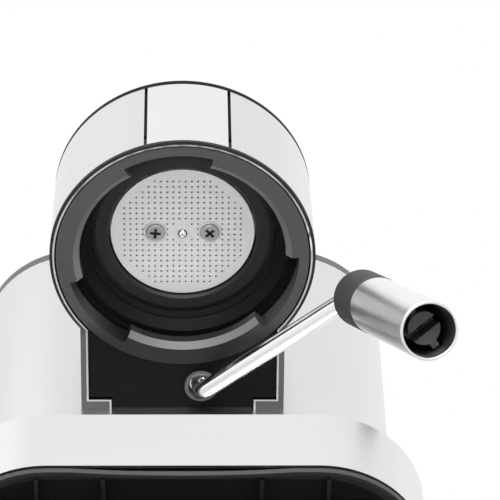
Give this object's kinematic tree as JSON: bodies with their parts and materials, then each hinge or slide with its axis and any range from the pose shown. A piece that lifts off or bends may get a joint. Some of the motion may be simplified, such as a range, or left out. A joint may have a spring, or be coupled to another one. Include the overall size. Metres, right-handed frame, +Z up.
{
  "type": "pod coffee machine",
  "caption": "Slim steel espresso machine for pods or ground coffee, with a round brew head, a swinging steam wand, a drip tray and a rear water tank.",
  "frame": {"origin": "on the counter, under the middle of the machine's box", "axes": "+X to the machine's right as its user sees it, +Y to the back, +Z up"},
  "size_m": [0.1705, 0.3031, 0.2921],
  "materials": {
    "drum_steel": "fine brushed",
    "column_steel": "fine brushed",
    "tray_steel": "fine brushed",
    "bright_steel": "polished",
    "wand_steel": "polished",
    "sleeve_steel": "brushed along its length",
    "screen_steel": "satin",
    "collar_metal": "dark satin coat",
    "frame_grey": "satin",
    "black_plastic": "satin",
    "base_plastic": "fine grained",
    "grip_rubber": "matte",
    "seal_rubber": "matte",
    "foot_rubber": "matte",
    "insert_plastic": "satin",
    "button_steel": "satin",
    "lens_clear": "clear",
    "tank_clear": "smoked clear",
    "knob_black": "satin",
    "cast_metal": "cast",
    "valve_brass": "machined",
    "frame_sheet": "zinc plated look",
    "coil_plastic": "satin",
    "board_green": "lacquered",
    "hose_white": "silicone",
    "tube_metal": "drawn"
  },
  "bodies": {
    "machine": {"base_plate": "base_plastic", "feet": "foot_rubber", "base_deck": "base_plastic", "column_shell": "column_steel", "top_frame": "frame_grey", "cup_plate": "screen_steel", "rear_cover": "black_plastic", "cover_screws": "bright_steel", "chassis": "frame_sheet", "head_shell": "drum_steel", "front_fascia": "drum_steel", "head_liner": "black_plastic", "head_frame": "frame_grey", "head_trim": "bright_steel", "neck_plate": "black_plastic", "head_cap": "black_plastic", "button_bezels": "bright_steel", "indicator_lenses": "lens_clear", "button_board": "board_green", "collar_ring": "collar_metal", "recess_liner": "black_plastic", "group_gasket": "seal_rubber", "group_body": "cast_metal", "shower_screen": "screen_steel", "screen_screws": "screen_steel", "screen_pin": "bright_steel", "wand_socket": "bright_steel", "wand_grommet": "frame_grey", "steam_valve": "valve_brass", "tank_dock": "base_plastic", "tank_inlet": "seal_rubber", "cord_gland": "black_plastic", "boiler_block": "cast_metal", "boiler_cover": "cast_metal", "boiler_screws": "bright_steel", "thermostat": "coil_plastic", "pump_body": "coil_plastic", "pump_coil": "frame_sheet", "pump_mounts": "seal_rubber", "solenoid_valve": "valve_brass", "flow_meter": "coil_plastic", "control_board": "board_green", "boiler_tubes": "tube_metal", "water_hoses": "hose_white"},
    "wand": {"wand_tube": "wand_steel", "frother_grip": "grip_rubber", "frother_core": "insert_plastic"},
    "sleeve": {"frother_sleeve": "sleeve_steel"},
    "power_key": {"power_button": "button_steel"},
    "brew_key": {"brew_button": "button_steel"},
    "steam_key": {"steam_button": "button_steel"},
    "knob": {"steam_knob": "knob_black", "steam_spindle": "bright_steel"},
    "tray": {"tray_skirt": "tray_steel", "drip_tray": "black_plastic"},
    "grid": {"drip_grid": "screen_steel"},
    "float": {"tray_float": "insert_plastic"},
    "tank": {"water_tank": "tank_clear", "tank_valve": "insert_plastic"},
    "lid": {"tank_lid": "knob_black"}
  },
  "joints": [
    {"name": "wand_swing", "type": "hinge", "parent": "machine", "child": "wand", "pos_m": [0.0064, -0.048, 0.186], "axis": [0, 0, 1], "range_deg": [-45, 35]},
    {"name": "sleeve_pull", "type": "slide", "parent": "wand", "child": "sleeve", "axis": [0.2167, -0.406, -0.8878], "range_m": [0, 0.03]},
    {"name": "power_press", "type": "slide", "parent": "machine", "child": "power_key", "axis": [0, 0, -1], "range_m": [0, 0.0015], "stiffness_N_per_m": 400, "springref_m": -0.001},
    {"name": "brew_press", "type": "slide", "parent": "machine", "child": "brew_key", "axis": [0, 0, -1], "range_m": [0, 0.0015], "stiffness_N_per_m": 400, "springref_m": -0.001},
    {"name": "steam_press", "type": "slide", "parent": "machine", "child": "steam_key", "axis": [0, 0, -1], "range_m": [0, 0.0015], "stiffness_N_per_m": 400, "springref_m": -0.001},
    {"name": "steam_turn", "type": "hinge", "parent": "machine", "child": "knob", "pos_m": [-0.0745, 0.014, 0.241], "axis": [-1, 0, 0], "range_deg": [0, 270]},
    {"name": "tray_slide", "type": "slide", "parent": "machine", "child": "tray", "axis": [0, -1, 0], "range_m": [0, 0.11]},
    {"name": "grid_lift", "type": "slide", "parent": "tray", "child": "grid", "axis": [0, 0, 1], "range_m": [0, 0.03]},
    {"name": "float_rise", "type": "slide", "parent": "tray", "child": "float", "axis": [0, 0, 1], "range_m": [0, 0.006]},
    {"name": "tank_lift", "type": "slide", "parent": "machine", "child": "tank", "axis": [0, 0, 1], "range_m": [0, 0.08]},
    {"name": "lid_swing", "type": "hinge", "parent": "tank", "child": "lid", "pos_m": [0, 0.0984, 0.2901], "axis": [1, 0, 0], "range_deg": [0, 85]}
  ]
}
